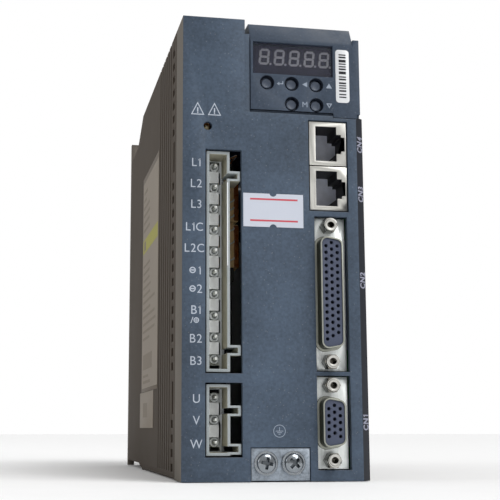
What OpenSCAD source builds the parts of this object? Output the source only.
// Book-size servo drive: a slate front cover with an operator panel and
// connectors, a vented case tube, two upright circuit boards, and a finned
// heat sink with a fan on a mounting plate.
//
// Frame: +X is right seen from the front, the front faces -Y, +Z is up.
// The origin is the centre of the rear mounting face.
// Depths are counted in millimetres from the front face towards the rear.

/* [Housing] */
// Width of the drive
body_w = 65; // [65:0.5:70]
// Height of the drive
body_h = 160; // [160:1:170]
// Depth from the front face to the mounting face
body_d = 175; // [175:1:190]
// Depth of the front cover
cover_d = 15; // [15:0.5:15.5]
// Thickness of the plastic walls
wall = 2; // [1.8:0.1:2.2]
// Thickness of the mounting plate
plate_t = 3; // [2:0.5:3.5]

/* [Operator keys] */
// Radius of a key cap
key_r = 1.9; // [1.6:0.1:2]
// How far a key travels when it is pressed
key_travel = 0.35; // [0.2:0.05:0.4]
// Distance between keys in a row
key_pitch = 8.9; // [8:0.1:9]

/* [Terminals] */
// Distance between two terminal pins
pin_pitch = 7.5; // [7:0.1:7.6]
// Side of a square terminal pin
pin_w = 1; // [0.8:0.1:1.2]

/* [Cooling] */
// Thickness of a heat sink fin
fin_t = 1.8; // [1.2:0.1:2.2]
// Distance between fins
fin_pitch = 7; // [6:0.5:7]
// Number of fan blades
fan_blades = 7; // [5:1:9]

/* [Hidden] */
$fn = 48;

// Outer faces of the housing
left = -body_w / 2;
right = body_w / 2;
base = -body_h / 2;
top = body_h / 2;
front_y = -body_d;
in_left = left + wall;
in_right = right - wall;
in_base = base + wall;
in_top = top - wall;
gap = 0.2;
eps = 0.01;

// Colours
slate = "#515c6a";
taupe = "#585048";
beige = "#bdb9ae";
tin = "#ccd2cf";
steel = "#a9aaa8";
dark = "#1d1d20";
insulator_blue = "#70738a";
board_green = "#2d5f3a";
alloy = "#b0b2b3";
gold = "#c9a44a";
label_white = "#e2e4e6";

// Right-hand front edge: a chamfer that carries the connector numbers
strip_w = 2.9;
strip_d = 2.2;

// Operator panel
panel_x = left + 24;
panel_right = right - 1.3;
panel_step_x = right - 3.5;
panel_z = top - 32.6;
panel_top_front = top - 7.5;
panel_step_z = top - 5;
panel_bevel_d = 4;
panel_skin = 2;
rib_w = 1.8;
rib_recess = 0.6;
groove_h = 1;
groove_d = 1.2;
tab_x = right - 11.1;
tab_w = 8.6;
tab_h = 1.5;
window_x = panel_x + 0.9;
window_w = 29.1;
window_z = top - 19.4;
window_h = 11.7;
window_d = 0.9;
window_t = 1.1;
post_r = 1.5;
posts = [[3.5, 3], [35, 3], [35, 21]];

// Display board, its LED block and the keys under the panel
board_t = 1.6;
display_board_d = 9.5;
key_x = panel_x + 5.9;
key_row_1 = top - 22.65;
key_row_2 = top - 30;
key_hole_r = 2.15;
key_funnel_r = 2.6;
key_recess = 1.2;
key_flange_r = 2.4;
key_stem_r = 1.1;
key_end_d = 5.3;
switch_w = 4.5;

// Terminal headers in the left-hand openings
header_x = left + 8.5;
header_w = 8.1;
header_wall = 1;
header_mouth_d = 1;
header_floor_d = 11;
header_back_d = 13;
ear_w = 3.7;
ear_h = 3.5;
pin_x = left + 12.7;
pin_tip_d = 6;
pin_back_d = 17;
block_w = 3.6;
block_h = 4.2;
side_slot_x = 1.7;
side_slot_w = 0.7;
end_slot_h = 1.3;
block_top_d = 8.8;
power_z = base + 36;
power_h = 75.8;
power_poles = 10;
power_first_pin = base + 108.2;
power_ears = [base + 101.5, base + 41.5];
motor_z = base + 8.4;
motor_h = 23.5;
motor_poles = 3;
motor_first_pin = base + 27.75;
motor_ears = [base + 21.4, base + 8.8];
socket_margin = 0.5;
socket_open_w = 12.6;

// Network sockets CN4 and CN3
rj_x = right - 20;
rj_w = 13.4;
rj_h = 15.7;
rj_d = 0.5;
rj_len = 16;
rj_skin = 0.4;
cn4_z = base + 108.4;
cn3_z = base + 92.3;
rj_mouth_x = rj_x + 2.3;
rj_mouth_w = 7.6;
rj_mouth_h = 12.5;
rj_cavity_d = 12;
rj_steps = [[1.7, 7], [1.3, 5.1]];
contact_pitch = 1.02;
contact_w = 0.35;

// D-sub connectors CN2 (44 ways) and CN1 (15 ways)
dsub_x = right - 13.7;
cn2_z = base + 63.2;
cn1_z = base + 19.3;
cn2_len = 53.04;
cn1_len = 30.81;
cn2_screws = 47.04;
cn1_screws = 24.99;
cn2_shell_len = 38.4;
cn1_shell_len = 16.3;
dsub_w = 12.5;
shell_h = 7.9;
flange_d = 2.2;
flange_t = 0.8;
shell_front_d = -3.6;
shell_t = 0.5;
contact_rows = 1.98;
contact_step = 2.286;
dsub_back_d = 14;
jack_tip_d = -2.9;
jack_hex_r = 2.75;
jack_bore_r = 1.25;
stud_r = 1.4;

// Earth bracket at the foot of the cover
earth_x = left + 23.5;
earth_w = 20;
earth_h = 10.6;
earth_d = 0.4;
earth_lift = 0.3;
earth_t = 1.6;
earth_screw_x = [earth_x + 4.9, earth_x + 14.3];
earth_screw_z = base + 6;
earth_head_r = 4;

// Charge lamp
lamp_x = left + 8.8;
lamp_z = base + 120.5;
lamp_r = 1.1;
lamp_hole_r = 1.5;
lamp_d = 3.6;

// Case, vents and the open bay around the heat sink
case_end_d = 122;
bay_end_d = body_d - plate_t;
bay_top_drop = 9.5;
bay_slope_l = 20;
bay_foot_rise = 2.5;
foot_slope_d = case_end_d - 7;
foot_slope_l = 9;
vent_pitch = 5;
vent_count = 31;
vent_foot_z = base + 3.9;
vent_d = 20;
vent_l = 4.4;
vent_h = 2.8;
vent_ramp = 1.1;
vent_slit = 1.3;
latch_d = 19.3;
latch_w = 3;
latch_h = 11.3;
latch_z = [base + 108.7, base + 22.3];
ridge_count = 6;
ridge_d = 28.4;
ridge_pitch = 5.9;
ridge_w = 1.8;
ridge_cut = 0.6;
ridge_foot = 2.6;
roof_slots = 9;
roof_slot_w = 3;
roof_slot_l = 26;

// Labels
label_t = 0.15;
rating_d = 62;
rating_l = 54;
rating_z = base + 32.8;
rating_h = 95.2;
side_label_d = 75;
side_label_l = 46;
side_label_h = 15;

// Upright boards
power_board_x = in_left + 1.5;
power_face = power_board_x + board_t;
control_face = right - 6.6;
board_front_d = 15.5;
board_back_d = 117;
board_half_h = body_h / 2 - 4;
standoff_places = [[22, -70], [22, 70], [110, -70], [110, 70]];
standoff_bore = 1.55;
standoff_r = 3;
screw_r = 1.5;
screw_head_r = 2.8;
screw_head_t = 1.8;

// Heat sink, mounting plate and fan
sink_d = 118;
sink_t = 6;
fin_count = 9;
fin_foot_z = base + 14;
fin_top_z = top - 10;
boss_places = [[-21, -50], [21, -50], [-21, 60], [21, 60]];
boss_r = 4;
boss_len = 12;
plate_screw_r = 1.7;
plate_bore_r = 1.75;
plate_hole_r = 2.4;
plate_hole_x = body_w / 2 - 5.4;
plate_hole_z = top - 4;
plate_slot_z = base + 3.6;
fan_size = 40;
fan_t = 10;
fan_centre_d = 148;
fan_bore_r = 19;
fan_z = fin_foot_z - fan_t;
fan_blade_r = 18.2;
fan_hub_r = 8;
fan_shaft_r = 1;
guard_t = 1.4;

// A box from its left edge, depth and foot, with its width, length and height
module block(x, d, z, w, l, h) {
    translate([x, front_y + d, z]) cube([w, l, h]);
}

// A cylinder that points to the rear, between two depths
module rod_y(x, z, d0, d1, r) {
    translate([x, front_y + d0, z]) rotate([-90, 0, 0]) cylinder(h = d1 - d0, r = r);
}

// A cone that points to the rear, between two depths
module cone_y(x, z, d0, d1, r0, r1) {
    translate([x, front_y + d0, z]) rotate([-90, 0, 0]) cylinder(h = d1 - d0, r1 = r0, r2 = r1);
}

// A cylinder along X, between two places
module rod_x(x0, x1, d, z, r) {
    translate([x0, front_y + d, z]) rotate([0, 90, 0]) cylinder(h = x1 - x0, r = r);
}

// A front-view outline, given a thickness between two depths
module slab_y(x, z, d0, d1) {
    translate([x, front_y + d1, z]) rotate([90, 0, 0]) linear_extrude(height = d1 - d0) children();
}

// A side-view outline (depth, height above z), given a thickness along X
module slab_x(x0, x1, z) {
    translate([x0, front_y, z]) rotate([90, 0, 90]) linear_extrude(height = x1 - x0) children();
}

// ---------------------------------------------------------------- housing

module cover_outline() {
    polygon([
        [left, front_y],
        [right - strip_w, front_y],
        [right, front_y + strip_d],
        [right, front_y + cover_d],
        [left, front_y + cover_d]
    ]);
}

module front_cover() {
    color(slate) difference() {
        union() {
            difference() {
                translate([0, 0, base]) linear_extrude(height = body_h) cover_outline();
                block(in_left, wall, in_base, body_w - 2 * wall, cover_d, body_h - 2 * wall);
                // Pocket that takes the operator panel
                block(panel_x - gap - rib_w, -1, panel_z - groove_h, body_w, cover_d + 2, body_h);
            }
            // Rib beside the panel, a little lower than the face
            block(panel_x - gap - rib_w, rib_recess, panel_z - groove_h, rib_w,
                  cover_d - rib_recess, panel_step_z - panel_z + groove_h);
        }
        block(tab_x - gap, -1, panel_z - tab_h - gap, tab_w + 2 * gap, wall + 2, tab_h + 1);
        block(header_x - socket_margin, -1, power_z - socket_margin, socket_open_w,
              wall + 2, power_h + 2 * socket_margin);
        block(header_x - socket_margin, -1, motor_z - socket_margin, socket_open_w,
              wall + 2, motor_h + 2 * socket_margin);
        block(rj_x - 0.4, -1, cn3_z - 0.4, rj_w + 0.8, wall + 2, cn4_z + rj_h - cn3_z + 0.8);
        block(dsub_x - 5, -1, cn2_z - cn2_len / 2 - 0.3, dsub_w - 0.8, wall + 2, cn2_len + 0.6);
        block(dsub_x - 5, -1, cn1_z - cn1_len / 2 - 0.3, dsub_w - 0.8, wall + 2, cn1_len + 0.6);
        block(earth_x - gap, -1, base - 1, earth_w + 2 * gap, wall + 1, earth_h + earth_lift + 1 + gap);
        rod_y(lamp_x, lamp_z, -1, wall + 1, lamp_hole_r);
    }
}

// A side wall seen from the side: full height round the boards, then sloping
// down to the lower bay that holds the heat sink
module side_outline() {
    polygon([
        [cover_d, 0],
        [foot_slope_d, 0],
        [foot_slope_d + foot_slope_l, bay_foot_rise],
        [bay_end_d, bay_foot_rise],
        [bay_end_d, body_h - bay_top_drop],
        [case_end_d + bay_slope_l, body_h - bay_top_drop],
        [case_end_d, body_h],
        [cover_d, body_h]
    ]);
}

// One louvre of the left wall: a ramp that sinks towards a slit through the wall
module vent() {
    linear_extrude(height = vent_h) polygon([
        [left - 1, front_y + vent_d],
        [left, front_y + vent_d],
        [left + vent_ramp, front_y + vent_d + vent_l],
        [left - 1, front_y + vent_d + vent_l]
    ]);
    block(left - 1, vent_d + vent_l - vent_slit, 0, wall + 2, vent_slit, vent_h);
}

// Everything that is cut into the left wall
module wall_cuts() {
    for (i = [0 : vent_count - 1]) {
        z = vent_foot_z + i * vent_pitch;
        clear = min([for (l = latch_z) abs(z - l - latch_h / 2)]) > latch_h / 2 + vent_h / 2;
        if (clear) translate([0, 0, z - vent_h / 2]) vent();
    }
    for (z = latch_z) block(left - 1, latch_d, z, wall + 2, latch_w, latch_h);
    for (i = [0 : ridge_count - 1])
        block(left - 1, ridge_d + i * ridge_pitch, base + ridge_foot, 1 + ridge_cut, ridge_w,
              body_h);
}

module case_shell() {
    color(taupe) difference() {
        union() {
            block(left, cover_d, base, body_w, case_end_d - cover_d, body_h);
            for (x = [left, in_right]) slab_x(x, x + wall, base) side_outline();
        }
        block(in_left, cover_d - 1, in_base, body_w - 2 * wall, case_end_d - cover_d + 2,
              body_h - 2 * wall);
        // The floor ends in a slope towards the bay
        slab_x(left - 1, right + 1, base) polygon([
            [foot_slope_d, 0],
            [foot_slope_d + foot_slope_l, bay_foot_rise],
            [foot_slope_d + foot_slope_l, -1],
            [foot_slope_d, -1]
        ]);
        wall_cuts();
        mirror([1, 0, 0]) wall_cuts();
        for (i = [0 : roof_slots - 1], z = [in_top - 1, base - 1], d = [30, 78])
            block(left + 8.5 + i * 5.6, d, z, roof_slot_w, roof_slot_l, wall + 2);
    }
}

module heat_sink() {
    color(alloy) difference() {
        union() {
            block(in_left + 0.1, sink_d, in_base + 0.1, body_w - 2 * wall - 0.2, sink_t,
                  body_h - 2 * wall - 0.2);
            for (i = [0 : fin_count - 1])
                block((i - (fin_count - 1) / 2) * fin_pitch - fin_t / 2, sink_d + sink_t - eps,
                      fin_foot_z, fin_t, bay_end_d - sink_d - sink_t + eps, fin_top_z - fin_foot_z);
            for (p = boss_places) rod_y(p[0], p[1], sink_d + sink_t - eps, bay_end_d, boss_r);
        }
        for (p = boss_places) rod_y(p[0], p[1], bay_end_d - boss_len, bay_end_d + 1, plate_bore_r);
    }
}

module mounting_plate() {
    color(alloy) difference() {
        block(left, bay_end_d, base, body_w, plate_t, body_h);
        for (x = [-plate_hole_x, plate_hole_x]) {
            rod_y(x, plate_hole_z, bay_end_d - 1, body_d + 1, plate_hole_r);
            rod_y(x, plate_slot_z, bay_end_d - 1, body_d + 1, plate_hole_r);
            block(x - plate_hole_r, bay_end_d - 1, base - 1, 2 * plate_hole_r, plate_t + 2,
                  plate_slot_z - base + 1);
        }
        for (p = boss_places) {
            rod_y(p[0], p[1], bay_end_d - 1, body_d + 1, plate_bore_r);
            cone_y(p[0], p[1], body_d - 1.7, body_d + eps, plate_bore_r, plate_bore_r + 1.71);
        }
    }
}

module plate_screws() {
    color(steel) for (p = boss_places) difference() {
        union() {
            rod_y(p[0], p[1], bay_end_d - 10, body_d - 1.6, plate_screw_r);
            cone_y(p[0], p[1], body_d - 1.6, body_d - 0.1, plate_screw_r, plate_screw_r + 1.5);
        }
        for (a = [0, 90])
            translate([p[0], front_y + body_d - 0.1, p[1]]) rotate([0, a, 0])
                cube([3.2, 1.8, 0.7], center = true);
    }
}

// ----------------------------------------------------------- operator panel

module panel_side(z0, z1) {
    polygon([
        [0, z0],
        [0, panel_top_front - panel_z],
        [panel_bevel_d, z1],
        [cover_d, z1],
        [cover_d, z0]
    ]);
}

module panel_hollow() {
    polygon([
        [panel_skin, 0],
        [panel_skin, panel_top_front - panel_z - 0.9],
        [panel_bevel_d + 1.6, top - panel_z - wall],
        [cover_d + 1, top - panel_z - wall],
        [cover_d + 1, 0]
    ]);
}

module keypad_panel() {
    color(slate) difference() {
        union() {
            difference() {
                union() {
                    slab_x(panel_x, panel_step_x, panel_z) panel_side(0, top - panel_z);
                    block(panel_step_x - eps, 0, panel_z, panel_right - panel_step_x + eps, cover_d,
                          panel_step_z - panel_z);
                }
                slab_x(panel_x + 1.5, panel_right - wall, panel_z) panel_hollow();
            }
            // Lip that closes the groove under the panel, and the latch tab
            block(panel_x, groove_d, panel_z - groove_h + gap, panel_right - panel_x, cover_d - groove_d,
                  groove_h - gap + eps);
            block(tab_x, 0, panel_z - tab_h, tab_w, wall - gap, tab_h + 1);
            for (p = posts)
                rod_y(panel_x + p[0], panel_z + p[1], panel_skin - eps, display_board_d, post_r);
        }
        block(window_x, -1, window_z, window_w, panel_skin + 2, window_h);
        for (k = key_places()) {
            rod_y(k[0], k[1], -1, panel_skin + 1, key_hole_r);
            cone_y(k[0], k[1], -eps, key_recess, key_funnel_r, key_hole_r);
        }
    }
}

function key_places() = [
    [key_x, key_row_1],
    [key_x + key_pitch, key_row_1],
    [key_x + 2 * key_pitch, key_row_1],
    [key_x + key_pitch, key_row_2],
    [key_x + 2 * key_pitch, key_row_2]
];

module key(i) {
    k = key_places()[i];
    color("#2b323c") {
        rod_y(k[0], k[1], key_recess, panel_skin + 0.05, key_r);
        rod_y(k[0], k[1], panel_skin + 0.05 - eps, panel_skin + 0.8, key_flange_r);
        rod_y(k[0], k[1], panel_skin + 0.8 - eps, key_end_d, key_stem_r);
    }
}

module key_enter() {
    key(0);
}

module key_shift() {
    key(1);
}

module key_up() {
    key(2);
}

module key_mode() {
    key(3);
}

module key_down() {
    key(4);
}

module key_switches() {
    face_d = key_end_d + key_travel + 0.1;
    color(dark) for (k = key_places()) {
        block(k[0] - switch_w / 2, face_d + 0.5, k[1] - switch_w / 2, switch_w,
              display_board_d - face_d - 0.5, switch_w);
        rod_y(k[0], k[1], face_d, face_d + 0.5 + eps, key_stem_r);
    }
}

module display_window() {
    color("#3a3a40") block(window_x + 0.05, window_d, window_z + 0.05, window_w - 0.1, window_t,
                           window_h - 0.1);
}

module led_display() {
    color(dark) block(window_x + 0.8, window_d + window_t, window_z + 0.3, window_w - 1.2,
                      display_board_d - window_d - window_t, window_h - 1.2);
}

module display_board() {
    color(board_green) block(panel_x + 1.7, display_board_d, panel_z + gap, 35.5, board_t,
                             top - panel_z - wall - 2);
}

module display_ribbon() {
    ribbon_x = control_face - 2.9;
    ribbon_d = display_board_d + board_t;
    color("#c9cbd0") {
        block(ribbon_x, ribbon_d, panel_z + 6, 0.4, 13.3, 14);
        block(ribbon_x, ribbon_d + 12.9, panel_z + 6, control_face - ribbon_x, 0.4, 14);
    }
}

// ---------------------------------------------------------------- terminals

module header(z, h, poles, first_pin, ears) {
    cavity_l = header_floor_d - header_mouth_d + 1;
    cavity_d = header_mouth_d - 1;
    inner_w = header_w - 2 * header_wall;
    difference() {
        union() {
            block(header_x, header_mouth_d, z, header_w, header_back_d - header_mouth_d, h);
            for (e = ears)
                block(header_x + header_w - eps, header_mouth_d, e, ear_w + eps,
                      header_floor_d - header_mouth_d, ear_h);
        }
        block(header_x + header_wall, cavity_d, z + header_wall, inner_w, cavity_l,
              h - 2 * header_wall);
        for (e = ears)
            block(header_x + header_w - header_wall - eps, cavity_d, e + 0.8, ear_w + eps,
                  cavity_l + 1, ear_h - 1.6);
        for (i = [0 : poles - 1])
            block(pin_x - pin_w / 2, header_floor_d - 1, first_pin - i * pin_pitch - pin_w / 2, pin_w,
                  header_back_d, pin_w);
        for (i = [0 : poles - 2])
            block(pin_x + side_slot_x, header_floor_d - 1,
                  first_pin - (i + 0.5) * pin_pitch - block_h / 2, side_slot_w, header_back_d, block_h);
        for (e = [z + header_wall + 0.4, z + h - header_wall - 0.4 - end_slot_h])
            block(pin_x - 2.1, header_floor_d - 1, e, 4.2, header_back_d, end_slot_h);
    }
    for (i = [0 : poles - 2])
        block(pin_x - 2.1, block_top_d, first_pin - (i + 0.5) * pin_pitch - block_h / 2,
              block_w, header_floor_d - block_top_d + eps, block_h);
}

module pins(poles, first_pin) {
    for (i = [0 : poles - 1]) {
        z = first_pin - i * pin_pitch - pin_w / 2;
        block(pin_x - pin_w / 2, pin_tip_d, z, pin_w, pin_back_d - pin_tip_d, pin_w);
        block(power_face, pin_back_d - pin_w, z, pin_x - power_face, pin_w, pin_w);
    }
}

module power_header() {
    color(beige) header(power_z, power_h, power_poles, power_first_pin, power_ears);
}

module motor_header() {
    color(beige) header(motor_z, motor_h, motor_poles, motor_first_pin, motor_ears);
}

module power_pins() {
    color(tin) pins(power_poles, power_first_pin);
}

module motor_pins() {
    color(tin) pins(motor_poles, motor_first_pin);
}

// ---------------------------------------------------------- network sockets

// Mouth of a network socket: the plug opening and the two latch steps
module rj_mouth(z, d0, d1) {
    middle = z + rj_h / 2;
    block(rj_mouth_x, d0, middle - rj_mouth_h / 2, rj_mouth_w, d1 - d0, rj_mouth_h);
    block(rj_mouth_x, d0, middle - rj_steps[0][1] / 2, rj_mouth_w + rj_steps[0][0], d1 - d0,
          rj_steps[0][1]);
    block(rj_mouth_x, d0, middle - rj_steps[1][1] / 2, rj_mouth_w + rj_steps[0][0] + rj_steps[1][0],
          d1 - d0, rj_steps[1][1]);
}

module rj_shield(z) {
    color(beige) difference() {
        block(rj_x, rj_d, z, rj_w, rj_len, rj_h);
        block(rj_x + rj_skin, rj_d + rj_skin, z + rj_skin, rj_w - 2 * rj_skin, rj_len,
              rj_h - 2 * rj_skin);
        rj_mouth(z, rj_d - 1, rj_d + 1);
    }
}

module rj_insert(z) {
    color(dark) difference() {
        block(rj_x + rj_skin, rj_d + rj_skin, z + rj_skin, rj_w - 2 * rj_skin, rj_len - rj_skin,
              rj_h - 2 * rj_skin);
        rj_mouth(z, rj_d, rj_cavity_d);
    }
}

// Eight spring wires that lean in from the left wall of the socket
module rj_contacts(z) {
    middle = z + rj_h / 2;
    color(gold) for (i = [0 : 7])
        translate([rj_mouth_x + 0.05, front_y + 4, middle + (i - 3.5) * contact_pitch - contact_w / 2])
            rotate([0, 0, -14]) cube([contact_w, 7.5, contact_w]);
}

module cn4_shield() {
    rj_shield(cn4_z);
}

module cn3_shield() {
    rj_shield(cn3_z);
}

module cn4_insert() {
    rj_insert(cn4_z);
}

module cn3_insert() {
    rj_insert(cn3_z);
}

module cn4_contacts() {
    rj_contacts(cn4_z);
}

module cn3_contacts() {
    rj_contacts(cn3_z);
}

// ------------------------------------------------------------- D-sub sockets

// D outline with its long side to the left, grown or shrunk by a margin
module d_outline(len, margin) {
    r = 2.4;
    x = shell_h / 2 - r;
    z = len / 2 - r;
    slant = (shell_h - 2 * r) * tan(10);
    hull() {
        for (s = [-1, 1]) {
            translate([-x, s * z]) circle(r = r + margin, $fn = 32);
            translate([x, s * (z - slant)]) circle(r = r + margin, $fn = 32);
        }
    }
}

module dsub_shell(z, flange_len, screws, shell_len) {
    color(tin) {
        difference() {
            block(dsub_x - dsub_w / 2, flange_d, z - flange_len / 2, dsub_w, flange_t, flange_len);
            slab_y(dsub_x, z, flange_d - 1, flange_d + flange_t + 1) d_outline(shell_len, -shell_t);
            for (s = [-1, 1]) rod_y(dsub_x, z + s * screws / 2, flange_d - 1, flange_d + 2, stud_r + 0.1);
        }
        difference() {
            slab_y(dsub_x, z, shell_front_d, flange_d + eps) d_outline(shell_len, 0);
            slab_y(dsub_x, z, shell_front_d - 1, flange_d + 1) d_outline(shell_len, -shell_t);
        }
        difference() {
            slab_y(dsub_x, z, flange_d - 0.9, flange_d + eps) d_outline(shell_len, 0.8);
            slab_y(dsub_x, z, flange_d - 2, flange_d + 1) d_outline(shell_len, -0.1);
        }
    }
}

module contact_holes(z, rows) {
    for (c = [0 : 2], i = [0 : rows[c] - 1])
        translate([
            dsub_x + (c - 1) * contact_rows,
            front_y + shell_front_d - 1,
            z + ((rows[0] - 1) / 2 - i + (c == 1 ? 0.5 : 0)) * contact_step
        ]) rotate([-90, 0, 0]) cylinder(h = 5, r = 0.66, $fn = 8);
}

module dsub_insulator(z, shell_len, rows) {
    color(insulator_blue) {
        difference() {
            slab_y(dsub_x, z, shell_front_d + 0.4, flange_d + flange_t + eps)
                d_outline(shell_len, -shell_t - 0.03);
            contact_holes(z, rows);
        }
        block(dsub_x - 5.3, flange_d + flange_t, z - shell_len / 2, control_face - dsub_x + 5.3,
              dsub_back_d - flange_d - flange_t, shell_len);
    }
}

module jackscrews(z, screws) {
    color(steel) for (s = [-1, 1]) difference() {
        z1 = z + s * screws / 2;
        union() {
            rod_y(dsub_x, z1, jack_tip_d, jack_tip_d + 1, jack_hex_r - 0.45);
            translate([dsub_x, front_y + jack_tip_d + 1 - eps, z1]) rotate([-90, 0, 0])
                cylinder(h = flange_d - jack_tip_d - 1 + eps, r = jack_hex_r, $fn = 6);
            rod_y(dsub_x, z1, flange_d - eps, 7, stud_r);
        }
        rod_y(dsub_x, z1, jack_tip_d - 1, flange_d - 0.4, jack_bore_r);
    }
}

module cn2_shell() {
    dsub_shell(cn2_z, cn2_len, cn2_screws, cn2_shell_len);
}

module cn1_shell() {
    dsub_shell(cn1_z, cn1_len, cn1_screws, cn1_shell_len);
}

module cn2_insulator() {
    dsub_insulator(cn2_z, cn2_shell_len, [15, 15, 14]);
}

module cn1_insulator() {
    dsub_insulator(cn1_z, cn1_shell_len, [5, 5, 5]);
}

module cn2_jackscrews() {
    jackscrews(cn2_z, cn2_screws);
}

module cn1_jackscrews() {
    jackscrews(cn1_z, cn1_screws);
}

// ------------------------------------------------- earth, lamp and labels

module earth_bracket() {
    color(steel) difference() {
        union() {
            block(earth_x, earth_d, base + earth_lift, earth_w, earth_t, earth_h);
            block(earth_x + 0.3, earth_d + earth_t - eps, in_base + gap, earth_w - 0.6,
                  sink_d - earth_d - earth_t + eps, earth_t);
            for (x = earth_screw_x) rod_y(x, earth_screw_z, earth_d + 1, earth_d + earth_t + 3, 3.4);
        }
        for (x = earth_screw_x) rod_y(x, earth_screw_z, -1, earth_d + earth_t + 4, 2.05);
    }
}

module earth_screws() {
    color(steel) for (x = earth_screw_x) difference() {
        union() {
            rod_y(x, earth_screw_z, earth_d - 1.6, earth_d, earth_head_r);
            cone_y(x, earth_screw_z, earth_d - 2.6, earth_d - 1.6 + eps, earth_head_r - 1, earth_head_r);
            rod_y(x, earth_screw_z, earth_d - eps, 10, 2);
        }
        for (a = [0, 90])
            translate([x, front_y + earth_d - 2.6, earth_screw_z]) rotate([0, a + 20, 0])
                cube([4.2, 2.6, 1.1], center = true);
    }
}

module charge_lamp() {
    lead = 0.5;
    color("#c9b9a0") {
        rod_y(lamp_x, lamp_z, lamp_d, 7, lamp_r);
        translate([lamp_x, front_y + lamp_d, lamp_z]) sphere(r = lamp_r);
        for (s = [-1, 1]) {
            block(lamp_x - lead / 2, 7 - eps, lamp_z + s * 0.7 - lead / 2, lead, 10, lead);
            block(power_face, 16.5, lamp_z + s * 0.7 - lead / 2, lamp_x - power_face, lead, lead);
        }
    }
}

// Pricing-gun label without a price: two bites in its long edges
module blank_sticker() {
    sticker_w = 21.2;
    sticker_h = 11.7;
    color(label_white) difference() {
        block(left + 21.1, -label_t, base + 85.6, sticker_w, label_t, sticker_h);
        for (z = [base + 85.3, base + 97.6]) rod_y(left + 31.6, z, -1, 1, 1.3);
    }
}

module code_label() {
    label_r = 1.2;
    w = 5;
    h = 19.6;
    color(label_white) translate([right - 10.1, 0, base + 131.4]) {
        slab_y(label_r, 0, -label_t, 0) square([w - 2 * label_r, h]);
        slab_y(0, label_r, -label_t, 0) square([w, h - 2 * label_r]);
        for (x = [label_r, w - label_r], z = [label_r, h - label_r]) rod_y(x, z, -label_t, 0, label_r);
    }
}

module rating_plate() {
    color("#8f887c") block(left - label_t, rating_d, rating_z, label_t, rating_l, rating_h);
}

module side_label() {
    color("#9c968a") block(left - label_t, side_label_d, rating_z - gap - side_label_h,
                           label_t, side_label_l, side_label_h);
}

// --------------------------------------------------------- circuit boards

module board_holes(x) {
    for (p = standoff_places) rod_x(x - 1, x + board_t + 1, p[0], p[1], screw_r + 0.1);
}

module power_board() {
    color(board_green) difference() {
        block(power_board_x, board_front_d, -board_half_h, board_t, board_back_d - board_front_d,
              2 * board_half_h);
        board_holes(power_board_x);
    }
}

module control_board() {
    color(board_green) difference() {
        union() {
            block(control_face, board_front_d, -board_half_h, board_t, board_back_d - board_front_d,
                  2 * board_half_h);
            block(control_face, 4, -board_half_h, board_t, board_front_d - 4 + eps,
                  board_half_h + cn4_z + rj_h + 1);
        }
        board_holes(control_face);
    }
}

module board_standoffs() {
    color(gold) for (p = standoff_places) {
        difference() {
            rod_x(in_left, power_board_x, p[0], p[1], standoff_r);
            rod_x(in_left - 1, power_board_x + 1, p[0], p[1], standoff_bore);
        }
        difference() {
            rod_x(control_face + board_t, in_right, p[0], p[1], standoff_r);
            rod_x(control_face, in_right + 1, p[0], p[1], standoff_bore);
        }
    }
}

module board_screws() {
    color(steel) for (p = standoff_places) {
        rod_x(in_left + 0.1, power_face + eps, p[0], p[1], screw_r);
        rod_x(power_face, power_face + screw_head_t, p[0], p[1], screw_head_r);
        rod_x(control_face - eps, in_right - 0.1, p[0], p[1], screw_r);
        rod_x(control_face - screw_head_t, control_face, p[0], p[1], screw_head_r);
    }
}

// Processor, memory, bus drivers, optocouplers and a regulator:
// depth, foot, length, height and thickness of each
module control_chips() {
    chips = [
        [52, -12, 20, 20, 1.6], [80, -8, 12, 16, 1.2], [26, 8, 8, 12, 1.6], [26, -24, 8, 14, 2.2],
        [26, -46, 8, 14, 2.2], [56, 30, 14, 10, 2.4], [84, 32, 10, 10, 3.6], [58, -44, 16, 12, 3.2]
    ];
    color(dark) for (c = chips) block(control_face - c[4], c[0], c[1], c[4], c[2], c[3]);
}

module bus_capacitors() {
    can_r = 11;
    can_len = 36;
    color("#26303f") for (d = [66.5, 91], z = [27.5, 52])
        rod_x(power_face, power_face + can_len, d, z, can_r);
}

module transformer_core() {
    color("#2e2c2b") {
        for (z = [-11, 27]) block(left + 8.5, 18, z, 13, 25, 5);
        block(left + 8.5, 38, -6.01, 13, 5, 33.02);
    }
}

module transformer_winding() {
    winding_w = left + 23.5 - power_face;
    color("#a9671f") {
        for (z = [-6, 11]) block(power_face, 19.5, z, winding_w, 18.5, 16);
        block(power_face, 21, 9.99, winding_w - 1.5, 15.5, 1.02);
    }
}

module line_choke() {
    choke_r = 4.4;
    color("#6b3a26") translate([power_face + choke_r, front_y + 33, 46]) rotate([0, 90, 0])
        rotate_extrude() translate([9, 0]) circle(r = choke_r);
}

module inrush_relay() {
    color("#2b3c66") block(power_face, 46, -20, 16, 20, 15);
}

module line_fuse() {
    fuse_r = 3;
    fuse_x = power_face + 5;
    color("#d8d6cf") {
        rod_y(fuse_x, -36, 46, 68, fuse_r);
        for (d = [47, 64]) block(power_face, d, -38, 3, 3, 4);
    }
}

module current_sensors() {
    color(dark) for (z = [-57, -43]) block(power_face, 20, z, 14, 14, 12);
}

module power_module() {
    color("#33353a") {
        block(left + 8.5, 108, -28, 30, 9.5, 56);
        for (i = [0 : 10]) block(power_face, 110, -25.5 + i * 5, left + 8.5 - power_face + eps, 1, 0.8);
    }
}

module thermal_pad() {
    color("#9fb0b5") block(left + 8.5, 117.5, -28, 30, 0.5, 56);
}

module bridge_rectifier() {
    color("#202226") {
        block(left + 8.5, 109, 37, 24, 9, 26);
        for (i = [0 : 3]) block(power_face, 111, 40.5 + i * 6, left + 8.5 - power_face + eps, 1, 1);
    }
}

module insulation_sheet() {
    color("#dcdcd2") block(right - 11.5, 18, in_base, 0.4, 99, body_h - 14);
}

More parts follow.
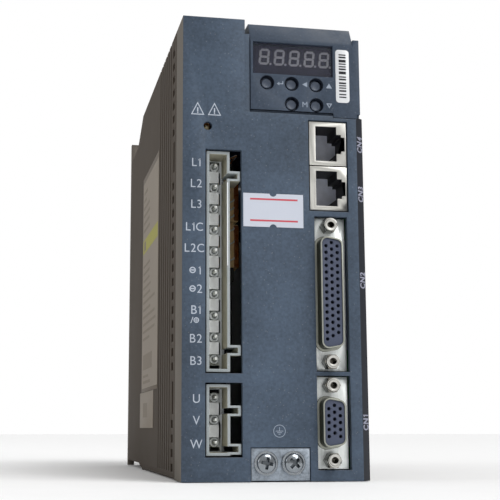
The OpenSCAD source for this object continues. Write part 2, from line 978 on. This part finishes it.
module link_ribbon() {
    color("#8d9096") block(power_face, 44, top - 9, control_face - power_face, 20, 1.2);
}

// --------------------------------------------------------------------- fan

module fan_frame() {
    z = fan_z;
    half = fan_size / 2;
    color(dark) difference() {
        union() {
            difference() {
                block(-half, fan_centre_d - half, z, fan_size, fan_size, fan_t);
                translate([0, front_y + fan_centre_d, z - 1]) cylinder(h = fan_t + 2, r = fan_bore_r);
            }
            translate([0, front_y + fan_centre_d, z]) {
                cylinder(h = 1.6, r = fan_hub_r);
                cylinder(h = 8, r = fan_shaft_r);
                for (a = [20, 140, 260]) rotate([0, 0, a]) translate([fan_hub_r - 1, -1.5, 0])
                    cube([fan_bore_r - fan_hub_r + 1.5, 3, 1.6]);
            }
        }
        for (x = [-16, 16], d = [-16, 16])
            translate([x, front_y + fan_centre_d + d, z - 1]) cylinder(h = fan_t + 2, r = 1.7);
    }
}

module fan_rotor() {
    color("#2c2d31") translate([0, front_y + fan_centre_d, fan_z + 2]) difference() {
        union() {
            cylinder(h = 7, r = fan_hub_r);
            for (i = [0 : fan_blades - 1]) rotate([0, 0, i * 360 / fan_blades])
                translate([fan_hub_r - 1, 0, 3.5]) rotate([38, 0, 0]) translate([0, -4, -0.6])
                    cube([fan_blade_r - fan_hub_r + 0.8, 8, 1.2]);
        }
        translate([0, 0, -1]) cylinder(h = 7.2, r = fan_shaft_r + 0.06);
    }
}

module fan_guard() {
    bar = 1.4;
    color("#c3c6c8") translate([0, front_y + fan_centre_d, fan_z - guard_t]) {
        for (r = [6, 12, 18.5]) difference() {
            cylinder(h = guard_t, r = r + bar / 2);
            translate([0, 0, -1]) cylinder(h = guard_t + 2, r = r - bar / 2);
        }
        for (a = [0, 90]) rotate([0, 0, a + 45]) translate([-23, -bar / 2, 0])
            cube([46, bar, guard_t]);
    }
}

front_cover();
case_shell();
keypad_panel();
display_window();
led_display();
display_board();
key_enter();
key_shift();
key_up();
key_mode();
key_down();
key_switches();
power_header();
power_pins();
motor_header();
motor_pins();
cn4_shield();
cn3_shield();
cn4_insert();
cn3_insert();
cn4_contacts();
cn3_contacts();
cn2_shell();
cn2_insulator();
cn2_jackscrews();
cn1_shell();
cn1_insulator();
cn1_jackscrews();
earth_bracket();
earth_screws();
charge_lamp();
blank_sticker();
code_label();
rating_plate();
side_label();
control_board();
control_chips();
power_board();
bus_capacitors();
transformer_core();
transformer_winding();
line_choke();
inrush_relay();
line_fuse();
current_sensors();
power_module();
thermal_pad();
bridge_rectifier();
insulation_sheet();
link_ribbon();
display_ribbon();
board_standoffs();
board_screws();
heat_sink();
mounting_plate();
plate_screws();
fan_frame();
fan_rotor();
fan_guard();
